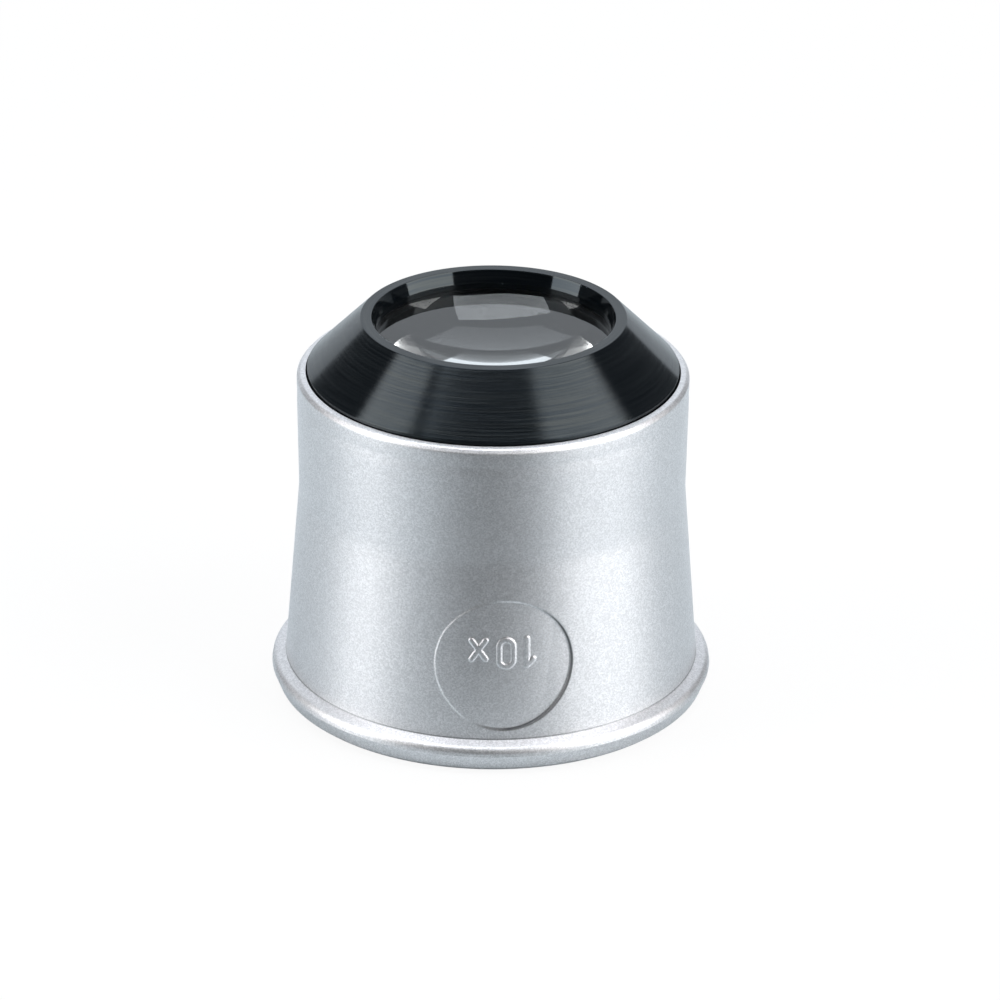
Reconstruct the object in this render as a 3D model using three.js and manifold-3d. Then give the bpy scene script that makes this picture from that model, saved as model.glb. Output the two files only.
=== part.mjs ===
// Watchmaker's eye loupe, ten times magnification, standing on its eye end.
// Units are millimetres. +Z is the optical axis, pointing from the eye to the watch, and z = 0 is
// the plane that the eye end stands on. The medallion is near the front, which faces -Y.
//
// Order of assembly: the front lens, the spacer ring and the rear lens drop into the lens mount from
// behind, against the lip of its front bore, and the retaining ring holds them. The mount screws into
// the eyecup until its shoulder meets the seat just inside the silver rim.

import * as THREE from 'three';
import { mergeVertices } from 'three/addons/utils/BufferGeometryUtils.js';
import Module from 'manifold-3d';

const wasm = await Module();
wasm.setup();

// Eyecup: outside
const waistRadius = 16.09;
const waistHeight = 17.8;
const waistBlend = 0.6; // half length of the soft bend at the waist
const rimFlare = 0.13; // how much wider the rim is than the waist
const rimHeight = 28.04;
const rimRoundHeight = 0.65; // the rim's crowned face falls this far towards the outside
const rimRoundEase = 0.1; // how far the rim's round stays inside its square corner
const creaseRadius = 17.32; // where the flared wall meets the flange
const creaseHeight = 2.55;
const flangeOverhang = 1.16;
const flangeEdgeHeight = 1.53;
const flangeCrownRise = 0.75; // height of the flange's fullest point over its sharp edge
const flangeCrownInset = 0.25;
const footInset = 0.88; // the eye end stands on a smaller circle than the flange
const footCurveRise = 0.2;
const footCurveOut = 0.4;

// Eyecup: inside
const wallThickness = 1.3;
const eyeEdgeRound = 0.35;
const rimWidth = 0.76; // the silver annulus round the black cone
const seatDepth = 1.04;
const seatWidth = 0.61;
const threadLength = 4;
const threadRunout = 0.4;
const threadStepHeight = 1;

// Eyecup: medallion, a shallow round recess whose floor follows the wall
const medallionRadius = 5.62;
const medallionHeight = 9.08;
const medallionDepth = 0.3;
const medallionTurn = THREE.MathUtils.degToRad(3.73); // from the front towards +X

// Lens mount
const landClearance = 0.09; // round the foot of the cone, inside the rim
const landRise = 0.23; // upright foot of the cone above the rim
const coneBevelWidth = 0.13;
const coneBevelRise = 0.2;
const coneHeight = 4.3;
const edgeBreak = 0.07;
const ringWidth = 0.89; // flat ring round the front bore
const frontBoreInset = 0.38; // the mouth of the front bore is this much smaller in radius than the lens
const frontBoreDepth = 1.06; // the front bore narrows from its mouth down to the lip
const lipWidth = 0.37;
const lipThickness = 0.52;
const threadClearance = 0.3;
const spigotChamfer = 0.4;
const spigotStep = 2.15; // from the threaded spigot in to the lens barrel
const barrelWall = 1.83;
const barrelOverhang = 0.35; // how far the barrel reaches past the retaining ring
const ringThreadDepth = 0.33;
const ringThreadLead = 0.5; // thread above the rear lens's flat face

// Lenses: two equal plano-convex ones with their convex sides facing each other
const lensClearance = 0.12;
const lensEdgeThickness = 1.37;
const lensCurveRadius = 25.6;
const lensGap = 2.8; // between the two convex faces, on the axis

// Spacer ring
const spacerWidth = 0.88;
const spacerClearance = 0.02;
const spacerChamfer = 0.25;

// Retaining ring
const retainerThickness = 1.6;
const retainerWidth = 1.5;
const retainerClearance = 0.15;
const slotWidth = 1.2;
const slotDepth = 0.7;

// Cuts run past what they cut by the overrun, and points nearer than the weld distance are one
const overrun = 0.5;
const weldDistance = 0.00001;

// Faceting counts
const turnSegments = 72;
const curveSteps = 4;
const lensSteps = 3;
const discSegments = 48;

// Radii, worked out from the wall inwards
const rimRadius = waistRadius + rimFlare;
const seatBoreRadius = rimRadius - rimWidth;
const threadBoreRadius = seatBoreRadius - seatWidth;
const landRadius = seatBoreRadius - landClearance;
const spigotRadius = threadBoreRadius - threadClearance;
const barrelRadius = spigotRadius - spigotStep;
const barrelBoreRadius = barrelRadius - barrelWall;
const lensRadius = barrelBoreRadius - lensClearance;
const frontBoreRadius = lensRadius - frontBoreInset;
const lipRadius = frontBoreRadius - lipWidth;
const ringOuterRadius = frontBoreRadius + ringWidth;
const ringThreadRadius = barrelBoreRadius + ringThreadDepth;
const retainerRadius = ringThreadRadius - retainerClearance;
const spacerInnerRadius = lensRadius - spacerWidth;

// Heights, worked out from the rim
const seatHeight = rimHeight - seatDepth;
const threadEndHeight = seatHeight - threadLength - threadRunout;
const landHeight = rimHeight + landRise;
const topHeight = landHeight + coneBevelRise + coneHeight;
const lipHeight = topHeight - frontBoreDepth;
const lensSeatHeight = lipHeight - lipThickness;
const spigotEndHeight = seatHeight - threadLength;

// Depth of a lens's curved face at a radius
const sagitta = (radius) => lensCurveRadius - Math.sqrt(lensCurveRadius ** 2 - radius ** 2);
const lensThickness = lensEdgeThickness + sagitta(lensRadius);
const frontVertexHeight = lensSeatHeight - lensThickness;
const rearVertexHeight = frontVertexHeight - lensGap;
const rearFlatHeight = rearVertexHeight - lensThickness;
const retainerEndHeight = rearFlatHeight - retainerThickness;
const barrelEndHeight = retainerEndHeight - barrelOverhang;

// Outer radius of the wall at a height between the crease and the waist
const flareSlope = (creaseRadius - waistRadius) / (waistHeight - creaseHeight);
const flaredWall = (height) => waistRadius + flareSlope * (waistHeight - height);

// A profile of radius and height, drawn anticlockwise, revolved round +Z
function turned(profile, steps = curveSteps) {
  const points = profile.getPoints(steps);
  return new THREE.LatheGeometry(points, turnSegments).rotateX(Math.PI / 2);
}

// A geometry as a solid that can be cut
function solid(geometry) {
  const bare = geometry.clone();
  bare.deleteAttribute('normal');
  bare.deleteAttribute('uv');
  const merged = mergeVertices(bare, weldDistance);
  const vertProperties = new Float32Array(merged.attributes.position.array);
  const corners = Array.from(merged.index.array);
  const kept = [];
  for (let i = 0; i < corners.length; i += 3) {
    const [a, b, c] = corners.slice(i, i + 3);
    if (a !== b && b !== c && c !== a) kept.push(a, b, c);
  }
  return new wasm.Manifold(new wasm.Mesh({ numProp: 3, vertProperties, triVerts: new Uint32Array(kept) }));
}

// A cut solid as a geometry again
function shaped(body) {
  const mesh = body.getMesh();
  const geometry = new THREE.BufferGeometry();
  geometry.setAttribute('position', new THREE.BufferAttribute(new Float32Array(mesh.vertProperties), 3));
  geometry.setIndex(new THREE.BufferAttribute(new Uint32Array(mesh.triVerts), 1));
  geometry.computeVertexNormals();
  return geometry;
}

// Eyecup shell, a thin moulded cup with a thread inside its rim
function eyecupProfile() {
  const flangeRadius = creaseRadius + flangeOverhang;
  const footRadius = flangeRadius - footInset;
  const innerWaist = waistRadius - wallThickness;
  const innerFoot = flaredWall(0) - wallThickness;
  const bandTop = rimHeight - rimRoundHeight;
  const bandSlope = rimFlare / (bandTop - waistHeight);
  const profile = new THREE.Path();
  profile.moveTo(innerFoot, eyeEdgeRound);
  profile.quadraticCurveTo(innerFoot, 0, innerFoot + eyeEdgeRound, 0);
  profile.lineTo(footRadius, 0);
  profile.quadraticCurveTo(footRadius + footCurveOut, footCurveRise, flangeRadius, flangeEdgeHeight);
  const crownHeight = flangeEdgeHeight + flangeCrownRise;
  profile.quadraticCurveTo(flangeRadius - flangeCrownInset, crownHeight, creaseRadius, creaseHeight);
  profile.lineTo(flaredWall(waistHeight - waistBlend), waistHeight - waistBlend);
  const bandStart = waistRadius + bandSlope * waistBlend;
  profile.quadraticCurveTo(waistRadius, waistHeight, bandStart, waistHeight + waistBlend);
  profile.lineTo(rimRadius, bandTop);
  profile.quadraticCurveTo(rimRadius - rimRoundEase, rimHeight - rimRoundEase, seatBoreRadius, rimHeight);
  profile.lineTo(seatBoreRadius, seatHeight);
  profile.lineTo(threadBoreRadius, seatHeight);
  profile.lineTo(threadBoreRadius, threadEndHeight);
  profile.lineTo(innerWaist, threadEndHeight - threadStepHeight);
  profile.lineTo(innerWaist, waistHeight);
  profile.closePath();
  return profile;
}

// The cutter for the medallion: a disc through the wall, less everything deeper than its floor
function medallionCutter() {
  const bottom = medallionHeight - medallionRadius - overrun;
  const top = medallionHeight + medallionRadius + overrun;
  const core = new THREE.Path();
  core.moveTo(0, bottom);
  core.lineTo(flaredWall(bottom) - medallionDepth, bottom);
  core.lineTo(flaredWall(top) - medallionDepth, top);
  core.lineTo(0, top);
  const discLength = 2 * medallionRadius;
  const disc = new THREE.CylinderGeometry(medallionRadius, medallionRadius, discLength, discSegments);
  disc.translate(0, -flaredWall(medallionHeight), medallionHeight);
  disc.rotateZ(medallionTurn);
  return solid(disc).subtract(solid(turned(core)));
}

function eyecupGeometry() {
  return shaped(solid(turned(eyecupProfile())).subtract(medallionCutter()));
}

// Lens mount, one turned piece: ring, cone, land, shoulder, threaded spigot and lens barrel
function mountGeometry() {
  const profile = new THREE.Path();
  profile.moveTo(ringThreadRadius, barrelEndHeight);
  profile.lineTo(barrelRadius, barrelEndHeight);
  profile.lineTo(barrelRadius, spigotEndHeight);
  profile.lineTo(spigotRadius - spigotChamfer, spigotEndHeight);
  profile.lineTo(spigotRadius, spigotEndHeight + spigotChamfer);
  profile.lineTo(spigotRadius, seatHeight);
  profile.lineTo(landRadius, seatHeight);
  profile.lineTo(landRadius, landHeight);
  profile.lineTo(landRadius - coneBevelWidth, landHeight + coneBevelRise);
  profile.lineTo(ringOuterRadius + edgeBreak, topHeight - edgeBreak);
  profile.lineTo(ringOuterRadius, topHeight);
  profile.lineTo(frontBoreRadius + edgeBreak, topHeight);
  profile.lineTo(frontBoreRadius, topHeight - edgeBreak);
  profile.lineTo(lipRadius, lipHeight);
  profile.lineTo(lipRadius, lensSeatHeight);
  profile.lineTo(barrelBoreRadius, lensSeatHeight);
  profile.lineTo(barrelBoreRadius, rearFlatHeight + ringThreadLead);
  profile.lineTo(ringThreadRadius, rearFlatHeight + ringThreadLead);
  profile.closePath();
  return turned(profile);
}

// A plano-convex lens with its convex side down and its flat face at z = 0
function lensGeometry() {
  const downwards = -Math.PI / 2;
  const edgeAngle = downwards + Math.asin(lensRadius / lensCurveRadius);
  const centreHeight = lensCurveRadius - lensThickness;
  const profile = new THREE.Path();
  profile.absarc(0, centreHeight, lensCurveRadius, downwards, edgeAngle, false);
  profile.lineTo(lensRadius, 0);
  profile.lineTo(0, 0);
  return turned(profile, lensSteps);
}

// Spacer ring, bearing on the two convex faces with its inner corners
function spacerGeometry() {
  const reach = sagitta(spacerInnerRadius) - spacerClearance;
  const top = frontVertexHeight + reach;
  const bottom = rearVertexHeight - reach;
  const profile = new THREE.Path();
  profile.moveTo(spacerInnerRadius, bottom);
  profile.lineTo(lensRadius - spacerChamfer, bottom);
  profile.lineTo(lensRadius, bottom + spacerChamfer);
  profile.lineTo(lensRadius, top - spacerChamfer);
  profile.lineTo(lensRadius - spacerChamfer, top);
  profile.lineTo(spacerInnerRadius, top);
  profile.closePath();
  return turned(profile);
}

// Retaining ring, with two slots in its rear face for a pin spanner
function retainerGeometry() {
  const innerRadius = retainerRadius - retainerWidth;
  const profile = new THREE.Path();
  profile.moveTo(innerRadius, retainerEndHeight);
  profile.lineTo(retainerRadius, retainerEndHeight);
  profile.lineTo(retainerRadius, rearFlatHeight);
  profile.lineTo(innerRadius, rearFlatHeight);
  profile.closePath();
  const slots = new THREE.BoxGeometry(2 * (retainerRadius + overrun), slotWidth, slotDepth + overrun);
  slots.translate(0, 0, retainerEndHeight + (slotDepth - overrun) / 2);
  return shaped(solid(turned(profile)).subtract(solid(slots)));
}

// Finishes
const silverLacquer = new THREE.MeshStandardMaterial({ color: 0xc3c6ca, roughness: 0.38, metalness: 0.75 });
const blackAnodised = new THREE.MeshStandardMaterial({ color: 0x1b1e22, roughness: 0.3, metalness: 0.5 });
const mattBlack = new THREE.MeshStandardMaterial({ color: 0x151618, roughness: 0.7, metalness: 0.2 });
const opticalGlass = new THREE.MeshStandardMaterial({
  color: 0xdfe6ea,
  roughness: 0.02,
  metalness: 0,
  transparent: true,
  opacity: 0.35,
});

function piece(name, geometry, material) {
  const mesh = new THREE.Mesh(geometry, material);
  mesh.name = name;
  return mesh;
}

const eyecupShell = piece('eyecup_shell', eyecupGeometry(), silverLacquer);
const lensMount = piece('lens_mount', mountGeometry(), blackAnodised);
const spacerRing = piece('spacer_ring', spacerGeometry(), mattBlack);
const retainingRing = piece('retaining_ring', retainerGeometry(), mattBlack);

const frontLens = piece('front_lens', lensGeometry(), opticalGlass);
frontLens.position.z = lensSeatHeight;

const rearLens = piece('rear_lens', lensGeometry(), opticalGlass);
rearLens.position.z = rearFlatHeight;
rearLens.rotation.x = Math.PI;

// The head that unscrews from the eyecup as one
const lensHead = new THREE.Group();
lensHead.add(lensMount, frontLens, spacerRing, rearLens, retainingRing);

const loupe = new THREE.Group();
loupe.add(eyecupShell, lensHead);

export default loupe;
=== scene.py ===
import math
import bpy
import bmesh
from mathutils import Euler, Matrix, Vector


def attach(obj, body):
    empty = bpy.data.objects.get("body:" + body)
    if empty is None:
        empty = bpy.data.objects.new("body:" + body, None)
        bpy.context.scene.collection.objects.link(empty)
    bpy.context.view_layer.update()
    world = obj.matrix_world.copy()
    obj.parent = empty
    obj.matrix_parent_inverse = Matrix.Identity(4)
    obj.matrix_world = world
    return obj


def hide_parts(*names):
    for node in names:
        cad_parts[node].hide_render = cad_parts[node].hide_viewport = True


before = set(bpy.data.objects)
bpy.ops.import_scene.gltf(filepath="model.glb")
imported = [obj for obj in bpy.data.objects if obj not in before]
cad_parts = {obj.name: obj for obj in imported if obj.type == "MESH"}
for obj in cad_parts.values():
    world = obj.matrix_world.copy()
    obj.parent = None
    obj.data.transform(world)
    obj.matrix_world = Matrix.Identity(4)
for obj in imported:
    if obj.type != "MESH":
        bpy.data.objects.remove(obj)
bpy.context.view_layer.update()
scene = bpy.context.scene
scene.view_settings.view_transform = "Standard"
scene.cycles.glossy_bounces = 10   # light runs round inside the lens by total reflection
mm = 0.001   # sizes below are in mm, the scene is in metres


# camera at the photo's viewpoint
cameraSet = {
    "back": 401.6,        # from the optical axis, towards -Y
    "height": 203.3,
    "tiltDown": 24.99,    # degrees
    "turnRight": 0.0935,
    "lean": 0.52,
    "lens": 191.0,
    "sensor": 36,
    "nearest": 10,        # nothing closer than this is drawn
}


def makeCamera(s):
    data = bpy.data.cameras.new("camera")
    data.lens = s["lens"]
    data.sensor_width = s["sensor"]
    data.clip_start = s["nearest"] * mm
    data.dof.use_dof = False
    camera = bpy.data.objects.new("camera", data)
    scene.collection.objects.link(camera)
    aim = Euler((math.radians(90 - s["tiltDown"]), 0, -math.radians(s["turnRight"]))).to_matrix()
    aim = aim @ Matrix.Rotation(math.radians(s["lean"]), 3, "Z")
    place = Vector((0, -s["back"], s["height"])) * mm
    camera.matrix_world = Matrix.Translation(place) @ aim.to_4x4()
    scene.camera = camera


makeCamera(cameraSet)
print("camera set")


# An outline is a list of spots, each [radius, height, zone], walked with the solid on the left.
# Corners are (radius, height, rounding), and a fourth entry starts a new zone.

def roundCorners(corners, stepDegrees=7, fewestSteps=3, sideShare=0.9):
    spots = []
    zone = "plain"
    for i, corner in enumerate(corners):
        here = Vector(corner[:2])
        if len(corner) > 3:
            zone = corner[3]
        if corner[2] == 0 or i in (0, len(corners) - 1):
            spots.append([here.x, here.y, zone])
            continue
        before = Vector(corners[i - 1][:2]) - here
        after = Vector(corners[i + 1][:2]) - here
        halfTurn = (math.pi - before.angle(after)) / 2
        reach = min(corner[2] * math.tan(halfTurn), sideShare * before.length, sideShare * after.length)
        inward = before.normalized() + after.normalized()
        centre = here + inward.normalized() * reach / math.sin(halfTurn)
        start = here + before.normalized() * reach - centre
        sweep = -start.angle_signed(here + after.normalized() * reach - centre)
        steps = max(fewestSteps, math.ceil(abs(math.degrees(sweep)) / stepDegrees))
        for k in range(steps + 1):
            spot = centre + Matrix.Rotation(sweep * k / steps, 2) @ start
            spots.append([spot.x, spot.y, zone])
    return spots


# spots close to both ends of each long straight, so that flat faces shade flat
def holdStraights(spots, hold=0.05, longFrom=0.2):
    out = []
    for (r, z, zone), (r2, z2, _) in zip(spots, spots[1:]):
        out.append([r, z, zone])
        gap = math.hypot(r2 - r, z2 - z)
        if gap > longFrom:
            for share in (hold / gap, 1 - hold / gap):
                out.append([r + (r2 - r) * share, z + (z2 - z) * share, zone])
    return out + [spots[-1]]


# outline of a plain ring from a seam in its inner wall, with its four edges rounded
def ringOutline(inner, outer, low, high, seam, rounds):
    corners = [
        (inner, seam, 0),
        (inner, low, rounds[0]),
        (outer, low, rounds[1]),
        (outer, high, rounds[2]),
        (inner, high, rounds[3]),
        (inner, seam, 0),
    ]
    return holdStraights(roundCorners(corners)[:-1])


def evenAngles(count):
    return [2 * math.pi * k / count for k in range(count)]


# revolves an outline; shape(spot, angle) may give a spot another radius at an angle
def turn(name, spots, angles, materials, shape=None, closed=True, crispDegrees=None):
    verts, ids = [], []
    for j, angle in enumerate(angles):
        column = []
        for i, spot in enumerate(spots):
            if spot[0] == 0 and j > 0:
                column.append(ids[0][i])   # one vertex on the axis for all columns
                continue
            r = shape(spot, angle) if shape else spot[0]
            column.append(len(verts))
            verts.append((r * math.cos(angle) * mm, r * math.sin(angle) * mm, spot[1] * mm))
        ids.append(column)
    zones = list(materials)
    faces, slots = [], []
    for here, there in zip(ids, ids[1:] + ids[:1]):
        for i in range(len(spots) if closed else len(spots) - 1):
            h = (i + 1) % len(spots)
            ring = [here[i], there[i], there[h], here[h]]
            face = [v for n, v in enumerate(ring) if v != ring[n - 1]]
            if len(face) > 2:
                faces.append(face)
                slots.append(zones.index(spots[i][2]))
    mesh = bpy.data.meshes.new(name)
    mesh.from_pydata(verts, [], faces)
    mesh.polygons.foreach_set("use_smooth", [True] * len(faces))
    mesh.polygons.foreach_set("material_index", slots)
    for material in materials.values():
        mesh.materials.append(material)
    if crispDegrees:
        sharpen(mesh, crispDegrees)
    piece = bpy.data.objects.new(name, mesh)
    scene.collection.objects.link(piece)
    return piece


# edges that turn by more than this stay sharp
def sharpen(mesh, degrees):
    work = bmesh.new()
    work.from_mesh(mesh)
    for edge in work.edges:
        if len(edge.link_faces) == 2 and edge.calc_face_angle() > math.radians(degrees):
            edge.smooth = False
    work.to_mesh(mesh)
    work.free()


def standFor(piece, body, node):
    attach(piece, body)
    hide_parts(node)


# materials are node trees; an input takes a value or another node's output

def startMaterial(name):
    material = bpy.data.materials.new(name)
    material.use_nodes = True
    material.node_tree.nodes.clear()
    return material, material.node_tree


def add(tree, kind, values=None, **settings):
    node = tree.nodes.new("ShaderNode" + kind)
    for key, value in settings.items():
        setattr(node, key, value)
    for key, value in (values or {}).items():
        if isinstance(value, bpy.types.NodeSocket):
            tree.links.new(value, node.inputs[key])
        else:
            node.inputs[key].default_value = value
    return node


def maths(tree, operation, a, b=0.0):
    return add(tree, "Math", {0: a, 1: b}, operation=operation).outputs[0]


def spread(tree, value, fromLow, fromHigh, toLow, toHigh):
    return add(tree, "MapRange", {0: value, 1: fromLow, 2: fromHigh, 3: toLow, 4: toHigh}).outputs[0]


def mixColours(tree, share, first, second):
    return add(tree, "Mix", {0: share, 6: first, 7: second}, data_type="RGBA").outputs[2]


def mixShaders(tree, share, first, second):
    return add(tree, "MixShader", {0: share, 1: first.outputs[0], 2: second.outputs[0]})


def noise(tree, where, size, detail=2.0):
    return add(tree, "TexNoise", {"Vector": where, "Scale": 1 / (size * mm), "Detail": detail}).outputs[0]


def bump(tree, height, depth, strength, under=None):
    values = {"Height": height, "Distance": depth * mm, "Strength": strength}
    if under:
        values["Normal"] = under
    return add(tree, "Bump", values).outputs[0]


# strength in the middle of a band round a value, fading to nothing between two distances in mm
def band(tree, value, middle, near, far, strength):
    away = maths(tree, "ABSOLUTE", maths(tree, "SUBTRACT", value, middle * mm))
    return spread(tree, away, near * mm, far * mm, strength, 0.0)


def finish(tree, shader, output="OutputMaterial"):
    tree.links.new(shader.outputs[0], add(tree, output).inputs[0])


def xyz(tree, where):
    return add(tree, "SeparateXYZ", {0: where}).outputs


def length(tree, x, y, z=0.0):
    flat = add(tree, "CombineXYZ", {0: x, 1: y, 2: z}).outputs[0]
    return add(tree, "VectorMath", {0: flat}, operation="LENGTH").outputs["Value"]


# matt black of the inner faces, of the rings and of the lenses' ground edges
mattSet = {
    "grainSize": 0.12,
    "grainShare": (0.3, 0.7),    # the grain's noise between its smooth and its rough spots
    "grainDepth": 0.01,
    "grainTilt": 0.15,
    "roughSpread": 0.08,
    "palerBy": 1.8,
}
mattFinishes = {
    "matt_inside": {"tone": (0.012, 0.012, 0.013, 1), "roughness": 0.55, "gloss": 0.5},
    "matt_black": {"tone": (0.012, 0.012, 0.013, 1), "roughness": 0.6, "gloss": 0.15},
    "lens_edge_black": {"tone": (0.02, 0.02, 0.022, 1), "roughness": 0.8, "gloss": 0.08},
}


def mattBlack(name, s, kind):
    material, tree = startMaterial(name)
    where = add(tree, "TexCoord").outputs["Object"]
    grain = noise(tree, where, s["grainSize"], detail=3.0)
    paler = tuple(s["palerBy"] * v for v in kind["tone"][:3]) + (1,)
    smooth, rough = kind["roughness"] - s["roughSpread"], kind["roughness"] + s["roughSpread"]
    shader = add(tree, "BsdfPrincipled", {
        "Base Color": mixColours(tree, grain, kind["tone"], paler),
        "Roughness": spread(tree, grain, *s["grainShare"], smooth, rough),
        "Specular IOR Level": kind["gloss"],
        "Normal": bump(tree, grain, s["grainDepth"], s["grainTilt"]),
    })
    finish(tree, shader)
    return material


mattBlacks = [mattBlack(name, mattSet, kind) for name, kind in mattFinishes.items()]
insideBlack, ringBlack, lensEdgeBlack = mattBlacks
print("matt blacks made")


# the helix that the lens mount screws in
thread = {
    "pitch": 1.0,
    "cupRoot": 15.02,
    "cupCrest": 14.57,
    "mountCrest": 14.92,
    "mountRoot": 14.45,
    "flankSlope": 1.15,
    "rootFlat": 0.07,
    "rowsPerTurn": 14,
}


def ease(low, high, value):
    share = min(1, max(0, (value - low) / (high - low)))
    return share * share * (3 - 2 * share)


# 1 on the crest of the mount's thread and 0 in its root, at a height and angle
def threadWave(z, angle):
    turnShare = (z / thread["pitch"] - angle / (2 * math.pi)) % 1
    wave = thread["flankSlope"] * (1 - abs(2 * turnShare - 1)) - thread["rootFlat"]
    return min(1, max(0, wave))


# a thread runs out below the seat and above its low end
def threadFade(z, s, lowEnd):
    return ease(0, s["runOutTop"], cup["seatHeight"] - z) * ease(0, s["runOutLow"], z - lowEnd)


# rows close enough together to carry the thread
def fillThread(spots):
    start = next(k for k, spot in enumerate(spots) if spot[2] == "thread")
    end = next(k for k in range(start, len(spots)) if spots[k][2] != "thread")
    step = thread["pitch"] / thread["rowsPerTurn"]
    rows = []
    for (r, z, zone), (r2, z2, _) in zip(spots[start:end], spots[start + 1:end + 1]):
        parts = math.ceil(math.hypot(r2 - r, z2 - z) / step)
        rows += [[r + (r2 - r) * k / parts, z + (z2 - z) * k / parts, zone] for k in range(parts)]
    return spots[:start] + rows + spots[end:]


# eyecup shell; single corners are (radius, height, rounding)
cup = {
    "waistRadius": 16.09,
    "waistHeight": 17.8,
    "waistRound": 10.8,
    "creaseRadius": 17.32,
    "creaseHeight": 2.56,
    "creaseRound": 0.03,
    "flangeRadius": 18.48,
    "flangeEdge": 1.57,
    "crownFall": 0.42,       # the flange's upper face falls this far towards its edge
    "crownRound": 0.87,
    "seamRise": 0.022,       # the mould's parting line round the flange's edge
    "seamHalf": 0.04,
    "footRadius": 17.58,
    "footRound": 0.12,
    "footCurve": 0.4,        # the underside curves out by this before it runs up to the edge
    "footCurveRise": 0.31,
    "footCurveRound": 0.3,
    "shoulder": (16.21, 25.5, 3),
    "neck": (16.19, 26.4, 1.2),
    "rimFoot": (16.22, 27.0, 0.8),
    "rimEdge": (16.22, 27.64, 0.26),
    "rimTop": (15.94, 27.96, 0.3),
    "rimHeight": 28.04,
    "seatBore": 15.46,
    "seatRound": 0.04,
    "seatHeight": 27.0,
    "threadEnd": 22.6,
    "runOutTop": 0.5,        # of the thread
    "runOutLow": 0.4,
    "wall": 1.3,
    "boreStart": 3,          # above the waist the bore is straight from here on
    "threadStep": 1,         # and below the thread it widens to the root over this
    "footInnerRise": 0.36,
    "footInnerRound": 0.34,
    "columns": 130,          # outside the medallion
}

# the round recess; u runs sideways and v up from its centre
medallion = {
    "radius": 5.59,
    "height": 9.03,
    "turn": 3.70,            # degrees from the front towards +X
    "depth": 0.09,
    "lean": 0.26,            # its floor leans, deepest at the right
    "leanAcross": 0.97,
    "leanDown": 0.12,
    "deepest": 0.26,
    "proud": 0.055,          # at the left the floor stands out by this
    "edge": 0.09,            # half width of its soft edge
    "zoneEnd": 15.2,         # height up to which the wall may carry it
    "rowStep": 0.06,
    "rowMargin": 0.1,
    "columnStep": 0.2,       # degrees
    "columnMargin": 0.3,
}

# the raised 10x in it, as it reads when the loupe is turned over
figure = {
    "middle": 1.09,          # above the medallion's centre
    "half": 1.16,            # half the height of its strokes
    "oneAt": -1.90,
    "flagAt": -2.43,
    "flagFall": 0.5,
    "zeroAt": -0.18,
    "zeroWide": 0.585,       # half width
    "crossLeft": 1.50,
    "crossRight": 2.64,
    "crossTop": 0.47,
    "stroke": 0.2,           # half width of a line
    "rise": 0.1,
    "edge": 0.065,           # half width of its soft edge
}


def flaredWall(z):
    slope = (cup["creaseRadius"] - cup["waistRadius"]) / (cup["waistHeight"] - cup["creaseHeight"])
    return cup["waistRadius"] + slope * (cup["waistHeight"] - z)


# silver lacquer with metal flakes under a satin clear coat
silverSet = {
    "tone": (0.695, 0.687, 0.698, 1),
    "brightFlake": (0.90, 0.89, 0.905, 1),
    "plainShare": 0.2,       # of the flakes keep the plain tone
    "roughness": 0.47,
    "roughSpread": 0.06,
    "flakeSize": 0.10,
    "flakeDepth": 0.012,
    "flakeTilt": 0.20,
    "waveSize": 1.4,
    "waveDepth": 0.02,
    "waveTilt": 0.10,
    "coat": 0.25,
    "coatRoughness": 0.22,
}

# painted shade in the crease, and round the medallion's right and lower edge: a dark tone mixed into the
# lacquer where these crevices would lie in shadow
paintedShadeSet = {
    "tone": (0.05, 0.055, 0.06, 1),
    "crease": 0.6,
    "creaseRise": 0.06,           # its middle above the crease
    "creaseHalf": 0.09,
    "creaseHeights": (2.0, 0.0),  # it fades out between the wall's radii at these heights
    "edge": 0.85,
    "edgeInset": 0.02,            # its middle inside the medallion's outline
    "edgeNear": 0.04,
    "edgeFar": 0.14,
    "edgeAcross": 0.86,
    "edgeDown": 0.42,
    "edgeFrom": 0.2,              # nothing up to here, towards the right and down
    "edgeTo": 2.6,                # and all of it from here on
    "frontFade": 8,               # none of it behind the axis
}


# painted shade along the crease above the flange, where the inner corner would be in shadow
def creasePaintedShade(tree, where, s):
    x, y, height = xyz(tree, where)
    wide, narrow = [flaredWall(z) * mm for z in s["creaseHeights"]]
    inCrease = band(tree, height, cup["creaseHeight"] + s["creaseRise"], 0.0, s["creaseHalf"], s["crease"])
    return maths(tree, "MULTIPLY", inCrease, spread(tree, length(tree, x, y), wide, narrow, 1.0, 0.0))


# painted shade round the medallion's right and lower edge, where its recess wall would be in shadow, fading
# towards the left and top
def edgePaintedShade(tree, where, s):
    turned = add(tree, "VectorRotate", {"Vector": where, "Angle": -math.radians(medallion["turn"])},
                 rotation_type="Z_AXIS").outputs[0]
    x, y, z = xyz(tree, turned)
    up = maths(tree, "SUBTRACT", z, medallion["height"] * mm)
    atEdge = band(tree, length(tree, x, 0.0, up), medallion["radius"] - s["edgeInset"],
                  s["edgeNear"], s["edgeFar"], s["edge"])
    lean = maths(tree, "SUBTRACT", maths(tree, "MULTIPLY", x, s["edgeAcross"]),
                 maths(tree, "MULTIPLY", up, s["edgeDown"]))
    onSide = spread(tree, lean, s["edgeFrom"] * mm, s["edgeTo"] * mm, 0.0, 1.0)
    inFront = spread(tree, y, -s["frontFade"] * mm, 0.0, 1.0, 0.0)
    return maths(tree, "MULTIPLY", maths(tree, "MULTIPLY", atEdge, onSide), inFront)


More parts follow.
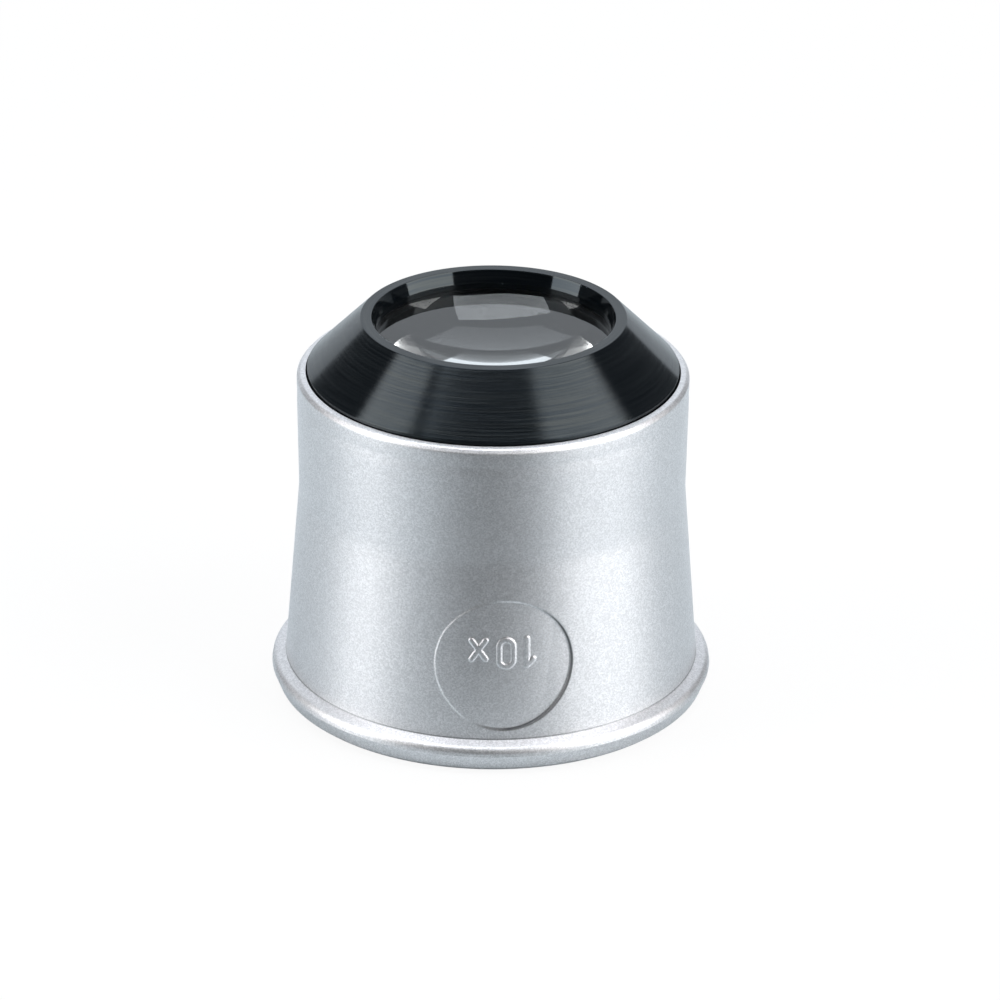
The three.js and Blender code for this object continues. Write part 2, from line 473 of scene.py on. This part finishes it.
def silverLacquer(s):
    material, tree = startMaterial("silver_lacquer")
    where = add(tree, "TexCoord").outputs["Object"]
    flakes = add(tree, "TexVoronoi", {"Vector": where, "Scale": 1 / (s["flakeSize"] * mm)}).outputs["Color"]
    shades = add(tree, "SeparateColor", {0: flakes}).outputs
    bright = spread(tree, shades[0], s["plainShare"], 1.0, 0.0, 1.0)
    lacquer = mixColours(tree, bright, s["tone"], s["brightFlake"])
    # painted shade of the crease and of the medallion's edge, mixed into the lacquer's colour
    paintedShade = maths(tree, "MAXIMUM", creasePaintedShade(tree, where, paintedShadeSet), edgePaintedShade(tree, where, paintedShadeSet))
    smooth, rough = s["roughness"] - s["roughSpread"], s["roughness"] + s["roughSpread"]
    waves = bump(tree, noise(tree, where, s["waveSize"]), s["waveDepth"], s["waveTilt"])
    shader = add(tree, "BsdfPrincipled", {
        "Base Color": mixColours(tree, paintedShade, lacquer, paintedShadeSet["tone"]),
        "Metallic": 1.0,
        "Roughness": spread(tree, shades[1], 0.0, 1.0, smooth, rough),
        "Normal": bump(tree, shades[2], s["flakeDepth"], s["flakeTilt"], waves),
        "Coat Weight": s["coat"],
        "Coat Roughness": s["coatRoughness"],
    })
    finish(tree, shader)
    return material


def toLine(point, start, end):
    along = end - start
    share = min(1, max(0, (point - start).dot(along) / along.length_squared))
    return (point - start - along * share).length


# distance to the lines of the figure
def toFigure(u, v, s):
    half = s["half"]
    spot = Vector((-u, s["middle"] - v))
    foot, top = Vector((s["oneAt"], -half)), Vector((s["oneAt"], half))
    flag = Vector((s["flagAt"], half - s["flagFall"]))
    one = min(toLine(spot, foot, top), toLine(spot, top, flag))
    past = max(abs(spot.y) - (half - s["zeroWide"]), 0)
    zero = abs(math.hypot(spot.x - s["zeroAt"], past) - s["zeroWide"])
    left, right, low, high = s["crossLeft"], s["crossRight"], -half, s["crossTop"]
    cross = min(toLine(spot, Vector((left, low)), Vector((right, high))),
                toLine(spot, Vector((right, low)), Vector((left, high))))
    return min(one, zero, cross)


# how deep the medallion is at an angle and height
def medallionDip(angle, z):
    m = medallion
    side = angle + math.pi / 2 - math.radians(m["turn"])
    side = (side + math.pi) % (2 * math.pi) - math.pi
    u, v = flaredWall(z) * math.sin(side), z - m["height"]
    away = math.hypot(u, v)
    if abs(side) > math.pi / 2 or away > m["radius"] + m["edge"]:
        return 0
    slant = (m["leanAcross"] * u - m["leanDown"] * v) / m["radius"]
    depth = min(m["deepest"], max(-m["proud"], m["depth"] + m["lean"] * slant))
    dip = depth * (1 - ease(-m["edge"], m["edge"], away - m["radius"]))
    raised = 1 - ease(-figure["edge"], figure["edge"], toFigure(u, v, figure) - figure["stroke"])
    return dip - figure["rise"] * raised


def cupShape(spot, angle):
    r, z, zone = spot
    if zone == "thread":
        deep = thread["cupRoot"] - thread["cupCrest"]
        return r - deep * threadFade(z, cup, cup["threadEnd"]) * (1 - threadWave(z, angle))
    if zone == "wall":
        return r - medallionDip(angle, z)
    return r


# columns stand close together across the medallion
def cupAngles():
    front = -math.pi / 2 + math.radians(medallion["turn"])
    reach = math.asin((medallion["radius"] + medallion["columnMargin"]) / flaredWall(medallion["height"]))
    fine, coarse = 2 * round(reach / math.radians(medallion["columnStep"])), cup["columns"]
    angles = [front - reach + 2 * reach * k / fine for k in range(fine)]
    return angles + [front + reach + 2 * (math.pi - reach) * k / coarse for k in range(coarse)]


# rows stand close together there too
def fillMedallion(spots):
    reach = medallion["radius"] + medallion["edge"] + medallion["rowMargin"]
    low, high = medallion["height"] - reach, medallion["height"] + reach
    rows = round((high - low) / medallion["rowStep"])
    heights = [low + (high - low) * k / rows for k in range(rows + 1)]
    start = 1 + max(k for k, spot in enumerate(spots) if spot[2] == "wall" and spot[1] < low)
    return spots[:start] + [[flaredWall(z), z, "wall"] for z in heights] + spots[start:]


def makeEyecup(s):
    innerWaist = s["waistRadius"] - s["wall"]
    innerFoot = flaredWall(0) - s["wall"]
    side = s["flangeRadius"] - s["seamRise"]
    spots = holdStraights(roundCorners([
        (innerWaist, s["waistHeight"], 0, "inside"),
        (innerFoot, s["footInnerRise"], 0),
        (innerFoot, 0, s["footInnerRound"]),
        (s["footRadius"], 0, s["footRound"], "skin"),
        (s["footRadius"] + s["footCurve"], s["footCurveRise"], s["footCurveRound"]),
        (side, s["flangeEdge"] - s["seamHalf"], 0),
        (s["flangeRadius"], s["flangeEdge"], 0),
        (side, s["flangeEdge"] + s["seamHalf"], 0),
        (side, s["creaseHeight"] - s["crownFall"], s["crownRound"]),
        (s["creaseRadius"], s["creaseHeight"], s["creaseRound"], "wall"),
        (flaredWall(medallion["zoneEnd"]), medallion["zoneEnd"], 0, "skin"),
        (s["waistRadius"], s["waistHeight"], s["waistRound"]),
        s["shoulder"],
        s["neck"],
        s["rimFoot"],
        s["rimEdge"],
        s["rimTop"],
        (s["seatBore"], s["rimHeight"], s["seatRound"], "inside"),
        (s["seatBore"], s["seatHeight"], 0),
        (thread["cupRoot"], s["seatHeight"], 0, "thread"),
        (thread["cupRoot"], s["threadEnd"], 0, "inside"),
        (innerWaist, s["threadEnd"] - s["threadStep"], 0),
        (innerWaist, s["waistHeight"] + s["boreStart"], 0),
    ]))
    materials = {"skin": silver, "wall": silver, "inside": insideBlack, "thread": insideBlack}
    piece = turn("eyecup", fillThread(fillMedallion(spots)), cupAngles(), materials, cupShape)
    standFor(piece, "eyecup", "eyecup_shell")
    print("eyecup made,", len(piece.data.polygons), "faces")


silver = silverLacquer(silverSet)
makeEyecup(cup)


# lens mount
mount = {
    "topHeight": 32.77,
    "ringRadius": 10.96,
    "ringRound": 0.07,
    "boreRadius": 10.07,
    "boreRound": 0.06,
    "lipRadius": 9.70,
    "lipRise": 0.52,         # the lip's face above the front lens
    "lipRound": 0.03,
    "lensSeat": 31.19,
    "landRadius": 15.37,
    "landHeight": 28.33,
    "landRound": 0.05,
    "footBevel": 0.12,       # at the foot of the cone
    "footRound": 0.1,
    "spigotEnd": 23.0,
    "runOutTop": 0.6,        # of the thread
    "runOutLow": 0.5,
    "barrelRadius": 12.4,
    "barrelRootRound": 0.3,
    "barrelEnd": 19.25,
    "barrelOuterRound": 0.2,
    "barrelInnerRound": 0.1,
    "barrelBore": 10.57,
    "seatRound": 0.05,
    "ringThread": 10.9,
    "ringThreadTop": 22.1,
    "columns": 192,
}

# black anodising over the fine grooves of the turning tool
anodisedSet = {
    "tone": (0.0020, 0.0030, 0.0040, 1),
    "lineTone": (0.006, 0.0075, 0.009, 1),
    "sheen": (0.63, 0.75, 0.85, 1),
    "lineSheen": (0.89, 0.99, 1.0, 1),
    "lineSize": 0.15,
    "lineShare": (0.40, 0.62),    # the noise between the plain face and a line
    "grooveSize": 0.06,
    "broadGroove": 0.24,
    "grooveShare": (0.36, 0.66),
    "grooveDepth": 0.014,
    "smoothest": 0.6,             # times a face's roughness
    "roughest": 1.2,
    "streakLength": 70,           # of a groove's width
    "glossTurn": 0.25,            # a quarter turn, so that the gloss stretches across the grooves
}
anodisedFaces = {
    "black_anodised": {"roughness": 0.185, "grooves": 0.35, "anisotropy": 1.0, "refraction": 1.5},
    "black_bore": {"roughness": 0.07, "grooves": 0.05, "anisotropy": 0.2, "refraction": 1.56},
    "black_lip": {"roughness": 0.16, "grooves": 0.15, "anisotropy": 0.4, "refraction": 1.5},
}


def blackAnodised(name, s, face):
    material, tree = startMaterial(name)
    where = add(tree, "TexCoord").outputs["Object"]
    x, y, z = xyz(tree, where)
    drawnOut = 1 / s["streakLength"]
    streaks = add(tree, "CombineXYZ", {
        0: maths(tree, "MULTIPLY", x, drawnOut),
        1: maths(tree, "MULTIPLY", y, drawnOut),
        2: maths(tree, "SUBTRACT", length(tree, x, y), z),   # grows from groove to groove
    }).outputs[0]
    fine = noise(tree, streaks, s["grooveSize"], detail=3.0)
    broad = noise(tree, streaks, s["broadGroove"])
    lines = spread(tree, noise(tree, streaks, s["lineSize"]), *s["lineShare"], 0.0, 1.0)
    smooth, rough = face["roughness"] * s["smoothest"], face["roughness"] * s["roughest"]
    shader = add(tree, "BsdfPrincipled", {
        "Base Color": mixColours(tree, lines, s["tone"], s["lineTone"]),
        "Roughness": spread(tree, fine, *s["grooveShare"], smooth, rough),
        "Anisotropic": face["anisotropy"],
        "Anisotropic Rotation": s["glossTurn"],
        "IOR": face["refraction"],
        "Specular Tint": mixColours(tree, lines, s["sheen"], s["lineSheen"]),
        "Normal": bump(tree, maths(tree, "ADD", fine, broad), s["grooveDepth"], face["grooves"]),
        "Tangent": add(tree, "Tangent", direction_type="RADIAL", axis="Z").outputs[0],
    })
    finish(tree, shader)
    return material


def mountShape(spot, angle):
    r, z, zone = spot
    if zone != "thread":
        return r
    rise = thread["mountCrest"] - thread["mountRoot"]
    return r + rise * threadFade(z, mount, mount["spigotEnd"]) * threadWave(z, angle)


def makeMount(s):
    seat = s["lensSeat"]
    spots = holdStraights(roundCorners([
        (thread["mountRoot"], s["spigotEnd"], 0, "thread"),
        (thread["mountRoot"], cup["seatHeight"], 0, "outside"),
        (s["landRadius"], cup["seatHeight"], s["landRound"]),
        (s["landRadius"], s["landHeight"], s["landRound"]),
        (s["landRadius"] - s["footBevel"], s["landHeight"] + s["footBevel"], s["footRound"]),
        (s["ringRadius"], s["topHeight"], s["ringRound"]),
        (s["boreRadius"], s["topHeight"], s["boreRound"], "bore"),
        (s["lipRadius"], seat + s["lipRise"], s["boreRound"], "lip"),
        (s["lipRadius"], seat, s["lipRound"]),
        (s["barrelBore"], seat, s["seatRound"], "barrel"),
        (s["barrelBore"], s["ringThreadTop"], 0),
        (s["ringThread"], s["ringThreadTop"], 0),
        (s["ringThread"], s["barrelEnd"], s["barrelInnerRound"], "outside"),
        (s["barrelRadius"], s["barrelEnd"], s["barrelOuterRound"]),
        (s["barrelRadius"], s["spigotEnd"], s["barrelRootRound"]),
        (thread["mountRoot"], s["spigotEnd"], 0),
    ])[:-1])
    materials = {
        "outside": black,
        "thread": black,
        "bore": blackBore,
        "lip": blackLip,
        "barrel": insideBlack,
    }
    piece = turn("lens_mount_turned", fillThread(spots), evenAngles(s["columns"]), materials, mountShape)
    standFor(piece, "lens_head", "lens_mount")
    print("lens mount made,", len(piece.data.polygons), "faces")


anodisedBlacks = [blackAnodised(name, anodisedSet, face) for name, face in anodisedFaces.items()]
black, blackBore, blackLip = anodisedBlacks
makeMount(mount)


# the two lenses, flat outside and curved towards each other
lens = {
    "radius": 10.45,
    "edge": 1.37,         # thickness at the rim
    "curve": 25.6,
    "gap": 2.8,           # between the curved faces, on the axis
    "bevel": 0.15,
    "play": 0.01,         # to what the flat faces bear on
    "curveSteps": 72,
    "columns": 320,
    "crispDegrees": 20,
}

glassSet = {
    "tone": (0.97, 0.985, 0.98, 1),
    "refraction": 1.517,
    "smearSize": 4,
    "smearShare": (0.5, 0.9),     # the noise between clean glass and a smear
    "smearRoughness": 0.004,
}


def opticalGlass(s):
    material, tree = startMaterial("optical_glass")
    where = add(tree, "TexCoord").outputs["Object"]
    smears = noise(tree, where, s["smearSize"], detail=3.0)
    shader = add(tree, "BsdfPrincipled", {
        "Base Color": s["tone"],
        "Roughness": spread(tree, smears, *s["smearShare"], 0.0, s["smearRoughness"]),
        "Transmission Weight": 1.0,
        "IOR": s["refraction"],
    })
    finish(tree, shader)
    return material


def sag(radius):
    return lens["curve"] - math.sqrt(lens["curve"] ** 2 - radius ** 2)


lensThickness = lens["edge"] + sag(lens["radius"])
frontFlat = mount["lensSeat"] - lens["play"]
frontVertex = frontFlat - lensThickness
rearVertex = frontVertex - lens["gap"]
rearFlat = rearVertex - lensThickness


# way is 1 where the curved face looks up and -1 where it looks down
def makeLens(name, node, flat, way, s):
    outer, inner = s["radius"], s["radius"] - s["bevel"]
    rim = flat + way * (lensThickness - sag(inner))
    outline = [
        [0, flat],
        [inner, flat],
        [outer, flat + way * s["bevel"]],
        [outer, rim - way * s["bevel"]],
    ]
    for k in range(s["curveSteps"] + 1):
        angle = math.asin(inner / s["curve"]) * (1 - k / s["curveSteps"])
        r = s["curve"] * math.sin(angle)
        outline.append([r, flat + way * (lensThickness - sag(r))])
    outline = outline[::way]   # the solid stays on the left
    spots = []
    for (r, z), (r2, _) in zip(outline, outline[1:] + outline[:1]):
        spots.append([r, z, "edge" if (r + r2) / 2 > inner else "face"])
    materials = {"face": glass, "edge": lensEdgeBlack}
    piece = turn(name, spots, evenAngles(s["columns"]), materials, closed=False,
                 crispDegrees=s["crispDegrees"])
    standFor(piece, "lens_head", node)


glass = opticalGlass(glassSet)
makeLens("front_lens_glass", "front_lens", frontFlat, -1, lens)
makeLens("rear_lens_glass", "rear_lens", rearFlat, 1, lens)
print("lenses made")


# spacer ring between the lenses
spacer = {
    "width": 0.88,
    "innerRound": 0.03,
    "chamfer": 0.25,
    "play": 0.03,
    "columns": 144,
}


def makeSpacer(s):
    inner = lens["radius"] - s["width"]
    low, high = rearVertex - sag(inner) + s["play"], frontVertex + sag(inner) - s["play"]
    rounds = (s["innerRound"], s["chamfer"], s["chamfer"], s["innerRound"])
    spots = ringOutline(inner, lens["radius"], low, high, (low + high) / 2, rounds)
    piece = turn("spacer_ring_turned", spots, evenAngles(s["columns"]), {"plain": ringBlack})
    standFor(piece, "spacer", "spacer_ring")


makeSpacer(spacer)


# retaining ring with two slots for a spanner
retainer = {
    "radius": 10.75,
    "width": 1.5,
    "thickness": 1.6,
    "rounds": (0.12, 0.1, 0.1, 0.05),   # low inner, low outer, high outer and high inner edge
    "seam": 0.5,
    "slotWidth": 1.2,
    "slotDepth": 0.7,
    "cutterLength": 25.8,    # past the ring on both sides
    "crispDegrees": 35,
    "columns": 144,
}


def cutterBox(size, height):
    work = bmesh.new()
    matrix = Matrix.Translation((0, 0, height * mm)) @ Matrix.Diagonal((*(Vector(size) * mm), 1))
    bmesh.ops.create_cube(work, size=1, matrix=matrix)
    mesh = bpy.data.meshes.new("cutter")
    work.to_mesh(mesh)
    work.free()
    cutter = bpy.data.objects.new("cutter", mesh)
    scene.collection.objects.link(cutter)
    return cutter


def makeRetainer(s):
    low, high = rearFlat - s["thickness"], rearFlat - lens["play"]
    spots = ringOutline(s["radius"] - s["width"], s["radius"], low, high, low + s["seam"], s["rounds"])
    piece = turn("retaining_ring_turned", spots, evenAngles(s["columns"]), {"plain": ringBlack})
    cutter = cutterBox((s["cutterLength"], s["slotWidth"], 2 * s["slotDepth"]), low)
    cut = piece.modifiers.new("slots", "BOOLEAN")
    cut.operation = "DIFFERENCE"
    cut.solver = "EXACT"
    cut.object = cutter
    done = piece.evaluated_get(bpy.context.evaluated_depsgraph_get())
    mesh = bpy.data.meshes.new_from_object(done)
    piece.modifiers.clear()
    piece.data = mesh
    bpy.data.objects.remove(cutter)
    mesh.materials.clear()
    mesh.materials.append(ringBlack)
    sharpen(mesh, s["crispDegrees"])
    standFor(piece, "lens_head", "retaining_ring")


makeRetainer(retainer)
print("rings made")


# studio: white behind the loupe, dark in front of it, and a tall softbox on each side; its places
# and sizes are in metres
floorSet = {
    "half": 3.0,
    "drop": 0.00001,                 # so that the floor and the loupe's foot don't share a plane
    "frontTone": 0.135,
    "nearTone": 0.64,
    "tint": (0.91, 1.0, 1.04),
    "frontFade": (-0.041, -0.021),   # from the dark front part to the pale part, along Y
    "asideFade": (0.22, 0.78),       # and towards both sides, as x over the way forward
    "gloss": 0.20,                   # roughness of the white acrylic that the lamps mirror in
    "refraction": 1.75,
    "shadowTone": 0.85,              # the camera sees a mix of this, which takes the shadow,
    "glowShare": 0.9,                # and of pure white, with this share near the loupe
    "glowFade": (0.06, 0.25),        # and the white alone further out
}

skySet = {
    "dark": 0.09,
    "front": 0.035,
    "frontFade": (-0.1, -0.5),
    "whiteLeft": 39,                 # the white backdrop's edges, degrees from straight behind
    "whiteRight": 32,
    "whiteTop": 58.5,                # degrees of elevation at its middle
    "whiteEdge": 0.02,               # half width of its soft edge
    "whiteLevel": 0.92,
    "tint": (0.93, 1.0, 1.07, 1),
}

leastDivisor = 0.001   # nothing is divided by less


def makeFloor(s):
    half, low = s["half"], -s["drop"]
    corners = [(-half, -half, low), (half, -half, low), (half, half, low), (-half, half, low)]
    mesh = bpy.data.meshes.new("floor")
    mesh.from_pydata(corners, [], [(0, 1, 2, 3)])
    floor = bpy.data.objects.new("floor", mesh)
    scene.collection.objects.link(floor)
    material, tree = startMaterial("floor_white")
    x, y, _ = xyz(tree, add(tree, "TexCoord").outputs["Object"])
    ahead = maths(tree, "MAXIMUM", maths(tree, "MULTIPLY", y, -1.0), leastDivisor)
    aside = maths(tree, "DIVIDE", maths(tree, "ABSOLUTE", x), ahead)
    pale = maths(tree, "MAXIMUM", spread(tree, y, *s["frontFade"], 0.0, 1.0),
                 spread(tree, aside, *s["asideFade"], 0.0, 1.0))
    front, near = [tuple(s[tone] * v for v in s["tint"]) + (1,) for tone in ("frontTone", "nearTone")]
    lit = add(tree, "BsdfPrincipled", {
        "Base Color": mixColours(tree, pale, front, near),
        "Roughness": s["gloss"],
        "IOR": s["refraction"],
    })
    shadowed = add(tree, "BsdfDiffuse", {"Color": (s["shadowTone"],) * 3 + (1,)})
    glow = add(tree, "Emission", {"Strength": 1.0})
    share = spread(tree, length(tree, x, y), *s["glowFade"], s["glowShare"], 1.0)
    seen = add(tree, "LightPath").outputs["Is Camera Ray"]
    finish(tree, mixShaders(tree, seen, lit, mixShaders(tree, share, shadowed, glow)))
    mesh.materials.append(material)


def makeSky(s):
    world = bpy.data.worlds.new("studio")
    world.use_nodes = True
    scene.world = world
    tree = world.node_tree
    tree.nodes.clear()
    x, y, z = xyz(tree, add(tree, "TexCoord").outputs["Generated"])
    behind = maths(tree, "MAXIMUM", y, leastDivisor)
    leftward = maths(tree, "MULTIPLY", x, -1.0)
    level = s["whiteLevel"]
    for along, side in ((x, "whiteRight"), (leftward, "whiteLeft"), (z, "whiteTop")):
        edge, soft = math.tan(math.radians(s[side])), s["whiteEdge"]
        inside = spread(tree, maths(tree, "DIVIDE", along, behind), edge - soft, edge + soft, 1.0, 0.0)
        level = maths(tree, "MULTIPLY", inside, level)
    dark = spread(tree, y, *s["frontFade"], s["dark"], s["front"])
    sky = add(tree, "Background", {"Color": s["tint"], "Strength": maths(tree, "MAXIMUM", level, dark)})
    plain = add(tree, "Background", {"Color": (1, 1, 1, 1), "Strength": 1.0})
    seen = add(tree, "LightPath").outputs["Is Camera Ray"]
    finish(tree, mixShaders(tree, seen, sky, plain), "OutputWorld")


# an even panel; its level is how bright it looks, whatever its size
def makePanel(name, wide, tall, level, matrix, tint=(1, 1, 1)):
    data = bpy.data.lights.new(name, "AREA")
    data.shape = "RECTANGLE"
    data.size = wide
    data.size_y = tall
    data.energy = level * wide * tall * math.pi
    data.color = tint
    lamp = bpy.data.objects.new(name, data)
    scene.collection.objects.link(lamp)
    lamp.matrix_world = matrix
    lamp.visible_camera = False


# azimuth of a softbox's middle from the front towards +X, in degrees; its top tips towards the loupe
# and leans towards a larger azimuth, so a lean to the back is plus at the right and minus at the left
softboxes = {
    "softbox_right": {
        "azimuth": 68.6, "away": 0.636, "height": 0.464, "halfWide": 0.338, "halfTall": 0.488,
        "tip": 18, "lean": 12, "level": 3.15,
    },
    "softbox_left": {
        "azimuth": -77.6, "away": 0.623, "height": 0.369, "halfWide": 0.193, "halfTall": 0.388,
        "tip": 18, "lean": -16, "level": 3.4,
    },
}


def makeSoftbox(name, s):
    side = math.radians(s["azimuth"])
    place = Vector((s["away"] * math.sin(side), -s["away"] * math.cos(side), s["height"]))
    facing = Vector((-math.sin(side), math.cos(side), 0)).to_track_quat("-Z", "Y").to_matrix().to_4x4()
    tip = Matrix.Rotation(-math.radians(s["tip"]), 4, "X")
    lean = Matrix.Rotation(-math.radians(s["lean"]), 4, "Z")
    matrix = Matrix.Translation(place) @ facing @ tip @ lean
    makePanel(name, 2 * s["halfWide"], 2 * s["halfTall"], s["level"], matrix)


# over the loupe; elevation past 90 degrees leans it to the back
topLight = {
    "away": 0.9,
    "elevation": 94,
    "turn": 9,
    "left": -0.47,
    "right": 0.33,
    "front": -0.23,
    "back": 0.25,
    "level": 3.8,
    "tint": (0.95, 1.0, 1.05),
}


def makeTopLight(s):
    lean = Matrix.Rotation(math.radians(90 - s["elevation"]), 4, "X")
    turned = Matrix.Rotation(math.radians(s["turn"]), 4, "Z")
    middle = Vector(((s["left"] + s["right"]) / 2, (s["front"] + s["back"]) / 2, s["away"]))
    matrix = lean @ turned @ Matrix.Translation(middle)
    makePanel("softbox_top", s["right"] - s["left"], s["back"] - s["front"], s["level"], matrix, s["tint"])


makeFloor(floorSet)
makeSky(skySet)
for name, values in softboxes.items():
    makeSoftbox(name, values)
makeTopLight(topLight)
print("studio set")
